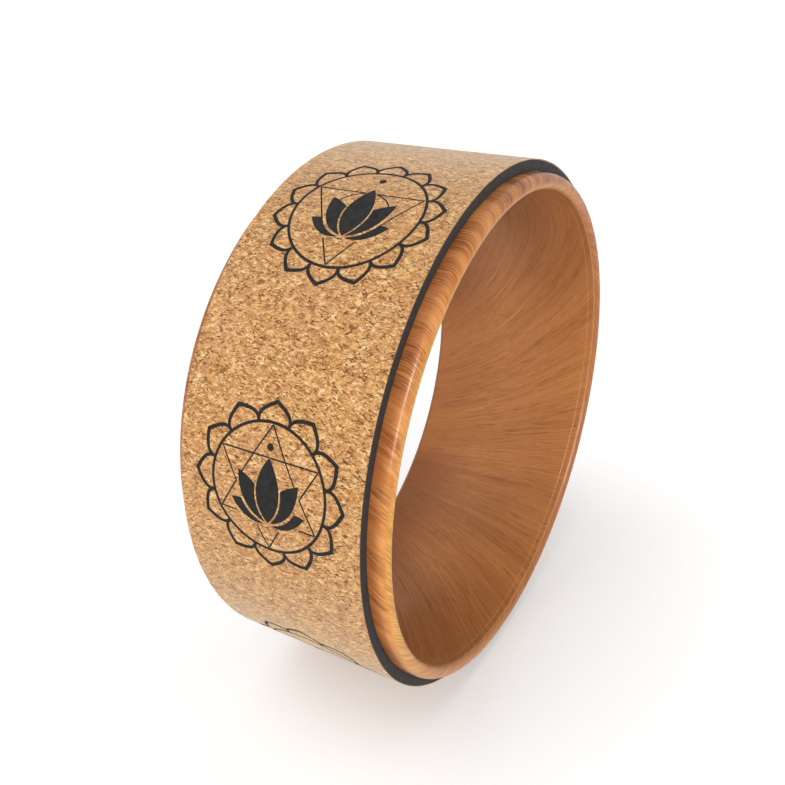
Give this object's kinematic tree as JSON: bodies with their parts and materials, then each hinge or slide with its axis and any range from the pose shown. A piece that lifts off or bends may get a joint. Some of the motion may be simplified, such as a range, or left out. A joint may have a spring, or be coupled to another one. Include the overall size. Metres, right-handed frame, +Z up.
{
  "type": "yoga wheel",
  "caption": "Rigid wood-grain hoop with bull-nosed rims, wrapped in a foam pad faced with printed cork, for leaning back over and rolling along the spine.",
  "frame": {"origin": "centre of the wheel, on the axle line, midway between the two rims", "axes": "+Y along the axle line, +Z up with the wheel standing on its tread"},
  "size_m": [0.33, 0.133, 0.33],
  "materials": {
    "wood_grain": "moulded ABS with a brown wood-grain transfer film under a clear satin lacquer",
    "foam": "matte black closed-cell foam",
    "cork": "sanded agglomerated cork sheet",
    "adhesive": "clear contact adhesive film",
    "ink": "matte black screen-printing ink on the cork"
  },
  "bodies": {
    "root": {"hoop": "wood_grain", "hoop_bond": "adhesive", "foam_pad": "foam", "cork_bond": "adhesive", "cork_cover": "cork"}
  },
  "joints": []
}
